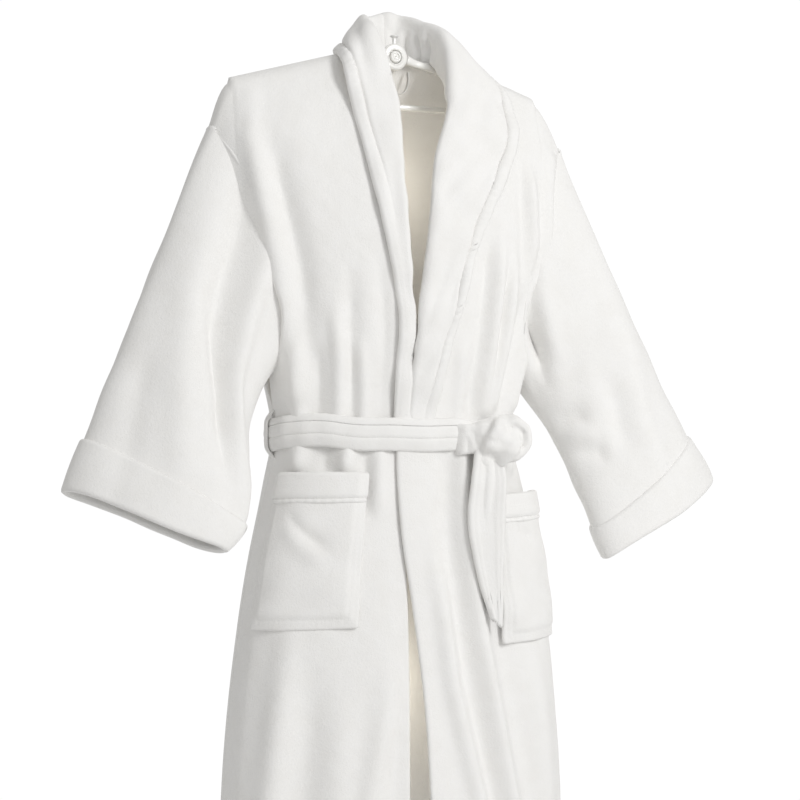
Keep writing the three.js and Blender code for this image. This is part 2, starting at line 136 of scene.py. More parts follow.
def fold(a, b, line, width, height, ends=(0, 0)):
    """A ridge (or with a negative height a valley) along a line of points in the plane of a and b.
    ends says how much of the height is left at the first and the last point."""
    points = np.array(line, float)
    lengths = np.linalg.norm(np.diff(points, axis=0), axis=1)
    starts = np.concatenate([[0], np.cumsum(lengths)])
    best = np.full(np.broadcast(a, b).shape, 1e9)
    place = np.zeros(best.shape)
    for k, length in enumerate(lengths):
        d = (points[k + 1] - points[k]) / length
        pa, pb = a - points[k][0], b - points[k][1]
        along = np.clip(pa * d[0] + pb * d[1], 0, length)
        da, db = pa - along * d[0], pb - along * d[1]
        distance = np.hypot(da, db)
        nearer = distance < best
        best = np.where(nearer, distance, best)
        place = np.where(nearer, starts[k] + along, place)
    t = place / starts[-1]
    strength = mix(ends[0], 1, smooth(t / 0.35)) * mix(ends[1], 1, smooth((1 - t) / 0.35))
    return height * strength * bell(best, width)


# --- the robe's body as a surface
def half_width(z):
    return through(HALF_WIDTHS, z)


def shoulder_height(x):
    r = np.abs(x)
    tip = np.where(x < 0, SHOULDER_HALF[-1], SHOULDER_HALF[1])
    level = np.where(x < 0, SHOULDER_LEVEL[-1], SHOULDER_LEVEL[1])
    slope = mix(NECK_LEVEL, level, np.maximum((r - NECK_HALF) / (tip - NECK_HALF), 0))
    t = np.clip((r - tip + 0.012) / (ARM_TOP_HALF - tip + 0.012), 0, 1)
    knee = mix(level - 0.0035, ARM_TOP_LEVEL, t ** 1.7)
    return np.where(t > 0, np.minimum(slope, knee), slope)


def cloth_depth(facing, x, z):
    """How far the middle of the cloth is from the hanger's plane, facing -1 in front and 1 behind."""
    below = np.maximum(shoulder_height(x) - z, 0)
    ridge = 0.012
    rounding = np.sqrt(np.maximum(1 - (1 - np.minimum(below / ridge, 1)) ** 2, 0)) * 0.009
    deep = through(FRONT_DEPTHS if facing < 0 else BACK_DEPTHS, z)
    across = np.clip(np.abs(x) / half_width(z), 0, 1)
    round_side = (1 - across ** 2.15) ** 0.5
    sewn = smooth((UNDERARM_LEVEL - z) / 0.05)
    closing = mix(1, np.minimum(round_side * 4, 1), sewn)
    return rounding * closing + deep * (1 - np.exp(-below / 0.062)) * round_side


def drawn_in(grid):
    """The wearer's left arm hangs a little closer, so that side is moved in between shoulder and elbow."""
    x, z = grid[..., 0], grid[..., 2]
    amount = 0.0115 * smooth((x - 0.11) / 0.11) * smooth((-0.055 - z) / 0.05) * smooth((z + 0.60) / 0.12)
    moved = grid.copy()
    moved[..., 0] -= amount
    return moved


def normals_of(grid, closed=False):
    """Unit normals of a grid of points, rows by columns by 3."""
    if closed:
        du = np.roll(grid, -1, axis=1) - np.roll(grid, 1, axis=1)
    else:
        du = np.gradient(grid, axis=1)
    dv = np.gradient(grid, axis=0)
    n = np.cross(du, dv)
    size = np.linalg.norm(n, axis=2, keepdims=True)
    return n / np.maximum(size, 1e-12)


def relaxed(grid, rounds, closed=False):
    """A grid smoothed a little, its edges left alone."""
    g = grid.copy()
    for _ in range(rounds):
        new = g.copy()
        new[1:-1] = 0.25 * g[:-2] + 0.5 * g[1:-1] + 0.25 * g[2:]
        if closed:
            new = 0.25 * np.roll(new, 1, axis=1) + 0.5 * new + 0.25 * np.roll(new, -1, axis=1)
        else:
            mid = 0.25 * new[:, :-2] + 0.5 * new[:, 1:-1] + 0.25 * new[:, 2:]
            new[:, 1:-1] = mid
        new[0], new[-1] = g[0], g[-1]
        if not closed:
            new[:, 0], new[:, -1] = g[:, 0], g[:, -1]
        g = new
    return g


# --- meshes
def make_object(name, vertices, faces, uvs=None):
    mesh = bpy.data.meshes.new(name)
    mesh.from_pydata([tuple(v) for v in vertices], [], faces)
    if uvs is not None:
        layer = mesh.uv_layers.new(name="cloth")
        loop_vertex = np.empty(len(mesh.loops), np.int32)
        mesh.loops.foreach_get("vertex_index", loop_vertex)
        layer.data.foreach_set("uv", np.asarray(uvs, np.float32)[loop_vertex].ravel())
    mesh.polygons.foreach_set("use_smooth", [True] * len(mesh.polygons))
    mesh.update()
    obj = bpy.data.objects.new(name, mesh)
    bpy.context.scene.collection.objects.link(obj)
    return obj


def thick_cloth(name, grid, thickness, closed=False, flip=False):
    """A closed solid with round edges about a grid of points. thickness is a number or an array."""
    rows, columns = grid.shape[:2]
    t = np.broadcast_to(np.asarray(thickness, float), (rows, columns)) / 2
    n = normals_of(grid, closed)
    if flip:
        n = -n
    t = t[..., None]
    outer, inner = grid + n * t, grid - n * t
    du = np.linalg.norm(np.diff(grid, axis=1), axis=2)
    dv = np.linalg.norm(np.diff(grid, axis=0), axis=2)
    u = np.concatenate([np.zeros((rows, 1)), np.cumsum(du, axis=1)], axis=1)
    v = np.concatenate([np.zeros((1, columns)), np.cumsum(dv, axis=0)], axis=0)
    u = np.broadcast_to(u[rows // 2], (rows, columns))
    v = np.broadcast_to(v[:, columns // 2][:, None], (rows, columns))
    uv = np.stack([u, v], axis=2)
    vertices = [outer.reshape(-1, 3), inner.reshape(-1, 3)]
    uvs = [uv.reshape(-1, 2), uv.reshape(-1, 2) + 3.0]
    faces = []
    size = rows * columns
    index = np.arange(size).reshape(rows, columns)
    last = columns if closed else columns - 1
    here = index[:-1, :last]
    right = np.roll(index, -1, axis=1)[:-1, :last]
    down = index[1:, :last]
    down_right = np.roll(index, -1, axis=1)[1:, :last]
    quads = np.stack([here, right, down_right, down], axis=2).reshape(-1, 4)
    if flip:
        quads = quads[:, ::-1]
    faces += quads.tolist()
    faces += (quads[:, ::-1] + size).tolist()

    def rim(loop, outward, is_loop):
        """Round the edge along a loop of grid indices."""
        base = grid.reshape(-1, 3)[loop]
        normal = n.reshape(-1, 3)[loop]
        half = t.reshape(-1, 1)[loop]
        previous = loop
        for angle in (45, 0, -45):
            a = math.radians(angle)
            ring = base + (normal * math.sin(a) + outward * math.cos(a)) * half
            start = sum(len(x) for x in vertices)
            vertices.append(ring)
            uvs.append(uv.reshape(-1, 2)[loop])
            current = np.arange(start, start + len(loop))
            strip(previous, current, is_loop)
            previous = current
        strip(previous, loop + size, is_loop)

    def strip(a, b, is_loop):
        m = len(a) if is_loop else len(a) - 1
        for k in range(m):
            q = [int(a[k]), int(b[k]), int(b[(k + 1) % len(a)]), int(a[(k + 1) % len(a)])]
            faces.append(q if not flip else q[::-1])

    def away(edge, inside):
        d = edge - inside
        return d / np.maximum(np.linalg.norm(d, axis=1, keepdims=True), 1e-12)

    if closed:
        top = index[0]
        rim(top, away(grid[0], grid[1]), True)
        bottom = index[-1][::-1]
        rim(bottom, away(grid[-1], grid[-2])[::-1], True)
    else:
        loop = np.concatenate([index[0, :-1], index[:-1, -1], index[-1, :0:-1], index[:0:-1, 0]])
        out = np.zeros((rows, columns, 3))
        out[0] += away(grid[0], grid[1])
        out[-1] += away(grid[-1], grid[-2])
        out[:, -1] += away(grid[:, -1], grid[:, -2])
        out[:, 0] += away(grid[:, 0], grid[:, 1])
        out = out.reshape(-1, 3)[loop]
        out /= np.maximum(np.linalg.norm(out, axis=1, keepdims=True), 1e-12)
        rim(loop, out, True)
    return make_object(name, np.concatenate(vertices), faces, np.concatenate(uvs))


def tube_mesh(name, path, wide, thin, up, sides=20):
    """A solid strip or cord along a path. wide and thin are half sizes, up turns the strip."""
    path = np.asarray(path, float)
    count = len(path)
    tangent = np.gradient(path, axis=0)
    tangent /= np.linalg.norm(tangent, axis=1, keepdims=True)
    up = np.broadcast_to(np.asarray(up, float), path.shape)
    a = up - tangent * (up * tangent).sum(1, keepdims=True)
    a /= np.linalg.norm(a, axis=1, keepdims=True)
    b = np.cross(tangent, a)
    wide = np.broadcast_to(np.asarray(wide, float), (count,))
    thin = np.broadcast_to(np.asarray(thin, float), (count,))
    turn = np.arange(sides) * math.tau / sides
    c, s = np.cos(turn), np.sin(turn)
    square = 0.62
    cx = np.sign(c) * np.abs(c) ** square
    sy = np.sign(s) * np.abs(s) ** square
    rings = path[:, None] + a[:, None] * (wide[:, None] * cx)[..., None]
    rings = rings + b[:, None] * (thin[:, None] * sy)[..., None]
    vertices = rings.reshape(-1, 3)
    length = np.concatenate([[0], np.cumsum(np.linalg.norm(np.diff(path, axis=0), axis=1))])
    uvs = np.stack(np.broadcast_arrays((turn * 0.012)[None, :], length[:, None]), axis=2).reshape(-1, 2)
    faces = []
    for j in range(count - 1):
        j2 = j + 1
        for i in range(sides):
            i2 = (i + 1) % sides
            faces.append([j * sides + i, j * sides + i2, j2 * sides + i2, j2 * sides + i])
    faces.append(list(range(sides))[::-1])
    faces.append([(count - 1) * sides + i for i in range(sides)])
    return make_object(name, vertices, faces, uvs)


def curve(points, steps):
    """A smooth curve through the points, with the given number of steps between neighbours."""
    p = np.asarray(points, float)
    p = np.concatenate([[2 * p[0] - p[1]], p, [2 * p[-1] - p[-2]]])
    t = np.linspace(0, 1, steps, endpoint=False)[:, None]
    dense = []
    for p0, p1, p2, p3 in zip(p, p[1:], p[2:], p[3:]):
        bend, twist = 2 * p0 - 5 * p1 + 4 * p2 - p3, 3 * p1 - p0 - 3 * p2 + p3
        dense.append(0.5 * (2 * p1 + (p2 - p0) * t + bend * t ** 2 + twist * t ** 3))
    return np.concatenate(dense + [p[-2:-1]])


def sampled(line, marks, places):
    """Points of a line at the given places, where marks says the place of each of its own points."""
    return np.stack([np.interp(places, marks, line[:, k]) for k in range(3)], axis=1)


def spline(points, count):
    """count points spaced evenly along a smooth curve through the given points."""
    line = curve(points, 24)
    marks = np.concatenate([[0], np.cumsum(np.linalg.norm(np.diff(line, axis=0), axis=1))])
    return sampled(line, marks, np.linspace(0, marks[-1], count))


def strip_frame(path, across, widths, rows):
    """A flat strip along a path: its grid, its normals, and the places along and across it."""
    t = np.linspace(0, 1, len(path))
    tangent = np.gradient(path, axis=0)
    tangent /= np.linalg.norm(tangent, axis=1, keepdims=True)
    across = np.broadcast_to(np.asarray(across, float), path.shape)
    sideways = across - tangent * (across * tangent).sum(1, keepdims=True)
    sideways /= np.linalg.norm(sideways, axis=1, keepdims=True)
    half = np.interp(t, np.linspace(0, 1, len(widths)), widths)
    w = np.linspace(-1, 1, rows)
    grid = path[:, None] + sideways[:, None] * (half[:, None] * w[None])[..., None]
    return grid, np.cross(tangent, sideways)[:, None], t[:, None], w[None]


# --- finishes
def put(node, values):
    for name, value in values.items():
        node.inputs[name].default_value = value


def plush(name, colour, shade, pile=1.0, rib=0.0):
    """Brushed plush: short pile, soft clumps, faint colour variation and a sheen at grazing angles."""
    material = bpy.data.materials.new(name)
    material.use_nodes = True
    nodes, links = material.node_tree.nodes, material.node_tree.links
    shader = nodes["Principled BSDF"]
    put(shader, {"Roughness": 0.95, "Sheen Weight": 0.35, "Sheen Roughness": 0.45,
                 "Sheen Tint": (1, 0.99, 0.97, 1), "Specular IOR Level": 0.15})
    place = nodes.new("ShaderNodeTexCoord")
    heights = []
    for scale, detail, amount in ((1500, 2, 0.0004 * pile), (420, 3, 0.0007 * pile), (110, 3, 0.0006)):
        noise = nodes.new("ShaderNodeTexNoise")
        put(noise, {"Scale": scale, "Detail": detail, "Roughness": 0.6})
        links.new(place.outputs["Object"], noise.inputs["Vector"])
        heights.append((noise, amount))
    before = None
    for noise, amount in heights:
        bump = nodes.new("ShaderNodeBump")
        put(bump, {"Strength": 0.75, "Distance": amount})
        links.new(noise.outputs["Fac"], bump.inputs["Height"])
        if before:
            links.new(before.outputs["Normal"], bump.inputs["Normal"])
        before = bump
    if rib:
        weave = nodes.new("ShaderNodeTexWave")
        put(weave, {"Scale": rib, "Distortion": 1.2})
        links.new(place.outputs["UV"], weave.inputs["Vector"])
        bump = nodes.new("ShaderNodeBump")
        put(bump, {"Strength": 0.6, "Distance": 0.0004})
        links.new(weave.outputs["Fac"], bump.inputs["Height"])
        links.new(before.outputs["Normal"], bump.inputs["Normal"])
        before = bump
    links.new(before.outputs["Normal"], shader.inputs["Normal"])
    blotch = nodes.new("ShaderNodeTexNoise")
    put(blotch, {"Scale": 38, "Detail": 5})
    links.new(place.outputs["Object"], blotch.inputs["Vector"])
    ramp = nodes.new("ShaderNodeValToRGB")
    ramp.color_ramp.elements[0].position = 0.3
    ramp.color_ramp.elements[0].color = (*shade, 1)
    ramp.color_ramp.elements[1].position = 0.6
    ramp.color_ramp.elements[1].color = (*colour, 1)
    links.new(blotch.outputs["Fac"], ramp.inputs["Fac"])
    links.new(ramp.outputs["Color"], shader.inputs["Base Color"])
    return material


def solid_finish(name, colour, roughness, metallic=0.0, coat=0.0):
    material = bpy.data.materials.new(name)
    material.use_nodes = True
    shader = material.node_tree.nodes["Principled BSDF"]
    put(shader, {"Base Color": (*colour, 1), "Roughness": roughness, "Metallic": metallic,
                 "Coat Weight": coat})
    return material


PLUSH = plush("plush", (0.900, 0.893, 0.878), (0.885, 0.876, 0.856))
TAPE = plush("tape", (0.90, 0.89, 0.87), (0.87, 0.86, 0.83), pile=0.3, rib=260)
PLASTIC = solid_finish("hanger_plastic", (0.86, 0.855, 0.83), 0.22, coat=0.3)
STEEL = solid_finish("steel", (0.86, 0.86, 0.85), 0.42, metallic=0.35)


def dress(obj, material, body):
    obj.data.materials.append(material)
    if body:
        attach(obj, body)
    return obj


# --- fronts and back
def from_folds(x, z, folds):
    total = np.zeros(x.shape)
    for line, width, height, ends in folds:
        total += fold(x, z, line, width, height, ends)
    return total


FRONT_FOLDS = {
    -1: [
        # beside the armhole: a long valley with the sleeve's fullness on one side
        ([(-0.217, -0.100), (-0.222, -0.160), (-0.210, -0.225), (-0.188, -0.328), (-0.173, -0.418),
          (-0.159, -0.483)],
         0.013, -0.011, (0.25, 0.6)),
        ([(-0.196, -0.13), (-0.188, -0.22), (-0.164, -0.33), (-0.150, -0.44)], 0.016, 0.007, (0, 0.3)),
        # gathers drawn in by the belt
        ([(-0.166, -0.40), (-0.157, -0.50), (-0.150, -0.545)], 0.007, -0.007, (0, 1)),
        ([(-0.125, -0.36), (-0.114, -0.45), (-0.110, -0.545)], 0.008, -0.006, (0, 1)),
        ([(-0.092, -0.40), (-0.084, -0.47), (-0.080, -0.545)], 0.007, -0.005, (0, 1)),
        ([(-0.104, -0.30), (-0.099, -0.42), (-0.096, -0.53)], 0.012, 0.005, (0, 0.7)),
        ([(-0.140, -0.42), (-0.134, -0.53)], 0.009, 0.004, (0, 0.7)),
        ([(-0.060, -0.28), (-0.056, -0.40), (-0.054, -0.53)], 0.012, 0.003, (0, 0.7)),
        ([(-0.151, -0.545), (-0.160, -0.60)], 0.008, -0.009, (1, 0)),
        ([(-0.098, -0.545), (-0.109, -0.60)], 0.008, -0.009, (1, 0)),
        ([(-0.060, -0.545), (-0.066, -0.66)], 0.009, -0.005, (1, 0)),
        ([(-0.125, -0.55), (-0.132, -0.60)], 0.010, 0.006, (1, 0)),
        ([(-0.078, -0.55), (-0.083, -0.66)], 0.010, 0.005, (1, 0)),
        # skirt
        ([(-0.178, -0.78), (-0.190, -0.88), (-0.205, -1.00), (-0.212, -1.20)], 0.016, -0.009, (0.3, 1)),
        ([(-0.150, -0.80), (-0.158, -0.90), (-0.168, -1.03), (-0.172, -1.20)], 0.022, 0.007, (0, 1)),
        ([(-0.047, -0.80), (-0.062, -0.91), (-0.083, -1.00), (-0.098, -1.20)], 0.016, -0.006, (0, 1)),
        ([(-0.110, -0.83), (-0.122, -0.95), (-0.134, -1.20)], 0.022, -0.004, (0, 1)),
        ([(-0.046, -0.86), (-0.050, -1.00), (-0.056, -1.20)], 0.014, 0.004, (0, 1)),
    ],
    1: [
        # folds that run into the knot
        ([(0.124, -0.25), (0.108, -0.389), (0.093, -0.509)], 0.010, -0.008, (0, 1)),
        ([(0.150, -0.28), (0.130, -0.401), (0.108, -0.500)], 0.010, -0.008, (0, 1)),
        ([(0.136, -0.30), (0.119, -0.40), (0.101, -0.50)], 0.008, 0.006, (0, 0.8)),
        ([(0.105, -0.24), (0.088, -0.38), (0.075, -0.50)], 0.012, 0.005, (0, 0.8)),
        ([(0.060, -0.40), (0.055, -0.46), (0.052, -0.54)], 0.009, -0.004, (0, 1)),
        ([(0.175, -0.33), (0.150, -0.43), (0.122, -0.51)], 0.011, 0.006, (0, 0.7)),
        ([(0.186, -0.16), (0.190, -0.276), (0.180, -0.34)], 0.010, -0.007, (0, 0)),
        ([(0.165, -0.15), (0.166, -0.28), (0.158, -0.36)], 0.014, 0.004, (0, 0)),
        # beside the armhole
        ([(0.236, -0.165), (0.227, -0.20), (0.213, -0.301), (0.196, -0.398), (0.160, -0.50)], 0.011,
         -0.011, (0.4, 0.7)),
        # skirt
        ([(-0.004, -0.62), (0.007, -0.686), (0.019, -0.759), (0.035, -0.878), (0.075, -1.03), (0.110,
                                                                                               -1.20)],
         0.012, -0.009, (0, 1)),
        ([(0.057, -0.556), (0.056, -0.668), (0.080, -0.815), (0.125, -1.032), (0.150, -1.20)], 0.012,
         -0.010, (1, 1)),
        ([(0.030, -0.58), (0.034, -0.70), (0.056, -0.85), (0.098, -1.03), (0.130, -1.20)], 0.018, 0.008,
         (0.4, 1)),
        ([(0.092, -0.60), (0.104, -0.72), (0.122, -0.85), (0.160, -1.03), (0.185, -1.20)], 0.022, 0.006,
         (0.3, 1)),
        ([(0.132, -0.56), (0.140, -0.60)], 0.008, -0.007, (1, 0)),
        ([(0.165, -0.80), (0.185, -0.95), (0.205, -1.20)], 0.018, -0.006, (0, 1)),
    ],
}


LAPEL_INNER = {
    -1: [(-0.024, -0.105), (-0.031, -0.191), (-0.029, -0.279), (-0.025, -0.344), (-0.0195, -0.392),
         (-0.022, -0.457), (-0.024, -0.530)],
    1: [(0.049, -0.104), (0.018, -0.179), (0.007, -0.251), (-0.007, -0.343), (-0.014, -0.409),
        (-0.018, -0.453), (-0.021, -0.530)],
}
LAPEL_OUTER = {
    -1: [(-0.085, -0.103), (-0.072, -0.193), (-0.055, -0.280), (-0.042, -0.344), (-0.036, -0.392),
         (-0.038, -0.457), (-0.040, -0.530)],
    1: [(0.150, -0.130), (0.122, -0.193), (0.089, -0.251), (0.064, -0.307), (0.049, -0.364),
        (0.029, -0.430), (0.012, -0.530)],
}


def front_grid(side, columns, rows):
    v = np.linspace(0, 1, rows)[:, None]
    u = np.linspace(0, 1, columns)[None, :]
    x_top = side * mix(NECK_HALF, ARM_TOP_HALF - 0.002, u)
    z = mix(shoulder_height(x_top), HEM_LEVEL + HEM_LIFT, v ** 1.04)
    edge = through(EDGES[side], z)
    reach = half_width(z) * through(REACH, z)
    turn = mix(np.arcsin(np.clip(side * edge / reach, -1, 1)), math.pi / 2, u)
    x = mix(x_top + 0 * z, side * reach * np.sin(turn), smooth(v / 0.27))
    y = -cloth_depth(-1, x, z) - SEAM_GAP
    grid = np.stack(np.broadcast_arrays(x, y, z), axis=2)
    n = normals_of(grid) * side
    relief = 1.3 * from_folds(x, z, FRONT_FOLDS[side])
    relief += 0.0009 * waves(x, z * 0.45, 0.10, 5 + side, 13) * smooth(v / 0.1)
    relief += 0.00016 * waves(x, z, 0.022, 11 + side, 17)
    relief *= smooth((1 - u) / 0.05) * 0.9 + 0.1
    under = through([(place, outer) for outer, place in LAPEL_OUTER[side]], z)
    covered = smooth((side * (under - x) + 0.022) / 0.022) * smooth((z - BELT_LEVEL) / 0.03)
    relief *= 1 - 0.9 * covered
    relief *= 1 - 0.8 * bell(z - BELT_LEVEL, 0.021)
    relief -= 0.003 * bell(z - BELT_LEVEL, 0.03)
    # the wearer's right front laps over the left one
    lap = bell(x + 0.026, 0.035) * smooth((-0.40 - z) / 0.1)
    relief += -side * 0.0048 * lap
    return grid + n * relief[..., None]


def back_grid(columns, rows):
    v = np.linspace(0, 1, rows)[:, None]
    u = np.linspace(-1, 1, columns)[None, :]
    x_top = u * (ARM_TOP_HALF - 0.002)
    z_top = np.where(np.abs(x_top) < NECK_HALF, NECK_LEVEL - 0.004 * np.cos(x_top / NECK_HALF * math.pi / 2),
                     shoulder_height(x_top))
    z = mix(z_top, HEM_LEVEL + HEM_LIFT, v)
    reach = half_width(z) * through(REACH, z)
    x = mix(x_top + 0 * z, reach * np.sin(u * math.pi / 2), smooth(v / 0.25))
    y = cloth_depth(1, x, z) + SEAM_GAP
    grid = np.stack(np.broadcast_arrays(x, y, z), axis=2)
    relief = 0.0014 * waves(x, z * 0.4, 0.12, 31, 13) * smooth(v / 0.1)
    for place, lean in ((-0.13, -0.05), (-0.07, -0.02), (0.0, 0.01), (0.06, 0.03), (0.125, 0.05)):
        relief = relief + fold(x, z, [(place, BELT_LEVEL + 0.02), (place + lean, BELT_LEVEL - 0.3),
                                      (place + 1.6 * lean, HEM_LEVEL)], 0.02, -0.008, (1, 1))
        relief = relief + fold(x, z, [(place * 1.2, -0.3), (place, BELT_LEVEL)], 0.012, -0.005, (0, 1))
    relief = relief * smooth((1 - np.abs(u)) / 0.05)
    relief = relief * (1 - 0.85 * bell(z - BELT_LEVEL, 0.024))
    relief = relief - 0.003 * bell(z - BELT_LEVEL, 0.03)
    n = -normals_of(grid)
    return grid + n * relief[..., None]


fronts = {}
for word, side in SIDES.items():
    grid = relaxed(drawn_in(front_grid(side, 110, 280)), 2)
    front = thick_cloth(f"front_{word}", grid, CLOTH, flip=(side < 0))
    dress(front, PLUSH, None)
    fronts[word] = front
back = thick_cloth("back", relaxed(drawn_in(back_grid(130, 190)), 2), CLOTH, flip=True)
dress(back, PLUSH, "robe")

# --- sleeves and cuffs
SLEEVE_TOP = {-1: np.array([[0.2665, 0.0, -0.149], [0.470, -0.055, -0.612]]),
              1: np.array([[0.2640, 0.0, -0.149], [0.4695, -0.055, -0.616]])}
SLEEVE_BOTTOM = {-1: np.array([[0.203, -0.010, -0.452], [0.290, -0.116, -0.684]]),
                 1: np.array([[0.203, -0.010, -0.452], [0.268, -0.118, -0.706]])}
SLEEVE_LENGTH = float(np.linalg.norm(SLEEVE_TOP[-1][1] - SLEEVE_TOP[-1][0]))
# how far the underside of the sleeve bags towards the body above the cuff
SLEEVE_FULLNESS = {-1: 0.024, 1: 0.0}
CUFF_DEPTH = 0.064
CUFF_START = 1 - CUFF_DEPTH / SLEEVE_LENGTH
SLEEVE_FOLDS = {
    -1: [
        ([(0.00, 0.10), (0.26, 0.42), (0.45, 0.68), (0.80, 0.88)], 0.085, -0.013, (0.3, 0.3)),
        ([(0.02, 0.40), (0.28, 0.70), (0.60, 0.93)], 0.060, 0.008, (0, 0.2)),
        ([(0.10, 0.05), (0.40, 0.30), (0.85, 0.55)], 0.12, 0.005, (0, 0.3)),
        ([(0.55, 0.10), (0.95, 0.28)], 0.08, -0.004, (0, 0.5)),
    ],
    1: [
        ([(0.02, 0.45), (0.16, 0.72), (0.20, 0.95)], 0.05, -0.011, (0.5, 0.3)),
        ([(0.05, 0.70), (0.22, 0.88)], 0.04, -0.010, (0.5, 0.2)),
        ([(0.10, 0.55), (0.24, 0.80)], 0.05, 0.007, (0.3, 0.2)),
        ([(0.30, 1.00), (0.40, 0.86), (0.50, 0.74)], 0.045, -0.0045, (0.6, 0)),
        ([(0.46, 1.00), (0.56, 0.86), (0.66, 0.76)], 0.045, -0.0045, (0.6, 0)),
        ([(0.38, 1.00), (0.48, 0.86), (0.58, 0.76)], 0.045, 0.0030, (0.6, 0)),
        ([(0.30, 0.10), (0.62, 0.36), (0.92, 0.60)], 0.12, 0.005, (0, 0.3)),
        ([(0.44, 0.45), (0.70, 0.70)], 0.09, -0.004, (0, 0)),
    ],
}


def armhole_point(side, q, facing):
    """On the armhole's rim: q runs 0 at the shoulder to 1 under the arm."""
    z = mix(ARM_TOP_LEVEL, UNDERARM_LEVEL + 0.008, q)
    x = half_width(z) * through(REACH, z)
    y = facing * (cloth_depth(-1 if facing < 0 else 1, x, z) + 0.0030)
    return np.stack(np.broadcast_arrays(side * (x + 0.0005), y, z + 0.0045 * (1 - q) ** 6), axis=-1)


def sleeve_grid(side, around, rows, begin, end, grow=0.0):
    """Rings of a flattened tube from the armhole out. Ring places: front goes top to bottom, back returns."""
    t = np.linspace(begin, end, rows)[:, None]
    turn = np.linspace(0, 2, around, endpoint=False)[None, :]
    turn = np.broadcast_to(turn, (rows, around))
    q = np.where(turn <= 1, turn, 2 - turn)
    facing = np.where(turn <= 1, -1.0, 1.0)
    q_round = (1 - np.cos(q * math.pi)) / 2
    top = mix(*SLEEVE_TOP[side], t[..., None])
    bottom = mix(*SLEEVE_BOTTOM[side], t[..., None])
    bottom[..., 0] -= SLEEVE_FULLNESS[side] * np.sin(np.clip(t, 0, 1) ** 3 * math.pi)
    mid = top + (bottom - top) * q_round[..., None]
    wide = (bottom - top) / 2
    run = (SLEEVE_TOP[side][1] - SLEEVE_TOP[side][0]) / SLEEVE_LENGTH
    thin = np.cross(wide, np.broadcast_to(run, wide.shape))
    thin /= np.linalg.norm(thin, axis=-1, keepdims=True)
    thin *= -np.sign(thin[..., 1:2] + 1e-9)
    puff = 0.030 + 0.010 * np.sin(np.clip(t, 0, 1) * math.pi * 0.9) + grow
    ring = mid + thin * (puff * -facing * np.sqrt(np.clip(1 - (2 * q_round - 1) ** 2, 0, 1)))[..., None]
    ring += (wide / np.linalg.norm(wide, axis=-1, keepdims=True)) * (grow * (2 * q_round - 1))[..., None]
    front_rim, back_rim = armhole_point(1, q_round[0], -1.0), armhole_point(1, q_round[0], 1.0)
    rim = np.where((facing[0] < 0)[:, None], front_rim, back_rim)
    start = smooth(t / 0.34)[..., None]
    ring = rim[None] * (1 - start) + ring * start
    tt = np.broadcast_to(t, q_round.shape)
    front_only = np.where(facing < 0, 1.0, 0.0) * np.sin(np.clip(q, 0, 1) * math.pi) ** 0.3
    relief = 1.5 * from_folds(tt, q_round, SLEEVE_FOLDS[side]) * front_only
    behind = [(0.05, 0.3), (0.4, 0.55), (0.9, 0.7)]
    relief += fold(tt, q_round, behind, 0.10, -0.008, (0.2, 0.3)) * (facing > 0)
    relief += 0.0009 * waves(tt * 0.5, q_round * 0.3 + facing * 0.3, 0.10, 51 + side, 13)
    relief *= smooth(tt / 0.06)
    ring = ring * np.array([side, 1, 1])
    n = normals_of(ring, closed=True)
    centre = ring.mean(axis=1, keepdims=True)
    n *= np.sign(((ring - centre) * n).sum(axis=(1, 2), keepdims=True))
    return drawn_in(ring + n * relief[..., None])


sleeves = {}
for word, side in SIDES.items():
    grid = relaxed(sleeve_grid(side, 180, 150, 0.0, CUFF_START + 0.012), 2, closed=True)
    sleeve = thick_cloth(f"sleeve_cloth_{word}", grid, 0.0065, closed=True, flip=(side < 0))
    dress(sleeve, PLUSH, None)
    sleeves[word] = sleeve
    rows = 34
    cuff = sleeve_grid(side, 180, rows, CUFF_START - 0.008, 0.990 + 0.004 * side, grow=0.0026)
    v = np.linspace(0, 1, rows)[:, None, None]
    around = np.arange(180)[None, :, None]
    # the free rim waves a little, and the join is drawn in by its seam
    cuff = cuff + np.array([0, 0, 1]) * 0.0022 * np.sin(around / 180 * math.tau * 3 + side) * v
    thickness = 0.0095 + 0.0015 * np.sin(np.linspace(0, math.pi, rows))[:, None] + 0 * around[..., 0]
    cuff = thick_cloth(f"cuff_cloth_{word}", cuff, thickness, closed=True, flip=(side < 0))
    dress(cuff, PLUSH, f"sleeve_{word}")
    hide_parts(f"cuff_{word}")
    sleeves[word + "_cuff"] = cuff

# --- shawl collar
def on_front(x, z, lift):
    """A place lying on a front, lift off its middle."""
    return (x, -float(cloth_depth(-1, np.array(x), np.array(z))) - lift, z)


# each station: neck seam, top of the roll, outer edge
NECK_STATIONS = {
    -1: [((0.008, 0.047, -0.030), (0.008, 0.054, 0.046), (0.008, 0.084, -0.022)),
         ((-0.024, 0.040, -0.028), (-0.020, 0.046, 0.035), (-0.046, 0.068, -0.030)),
         ((-0.044, 0.006, -0.022), (-0.038, 0.006, 0.026), (-0.080, 0.013, -0.025)),
         ((-0.042, -0.030, -0.052), (-0.037, -0.036, -0.006), (-0.092, -0.044, -0.050))],
    1: [((0.008, 0.047, -0.030), (0.008, 0.054, 0.046), (0.008, 0.084, -0.022)),
        ((0.036, 0.044, -0.028), (0.033, 0.047, 0.043), (0.064, 0.066, -0.030)),
        ((0.056, 0.010, -0.024), (0.052, 0.010, 0.026), (0.099, 0.018, -0.034)),
        ((0.060, -0.026, -0.054), (0.062, -0.034, -0.002), (0.140, -0.034, -0.066))],
}
LAPEL_LIFT = {-1: 0.0085, 1: 0.0170}


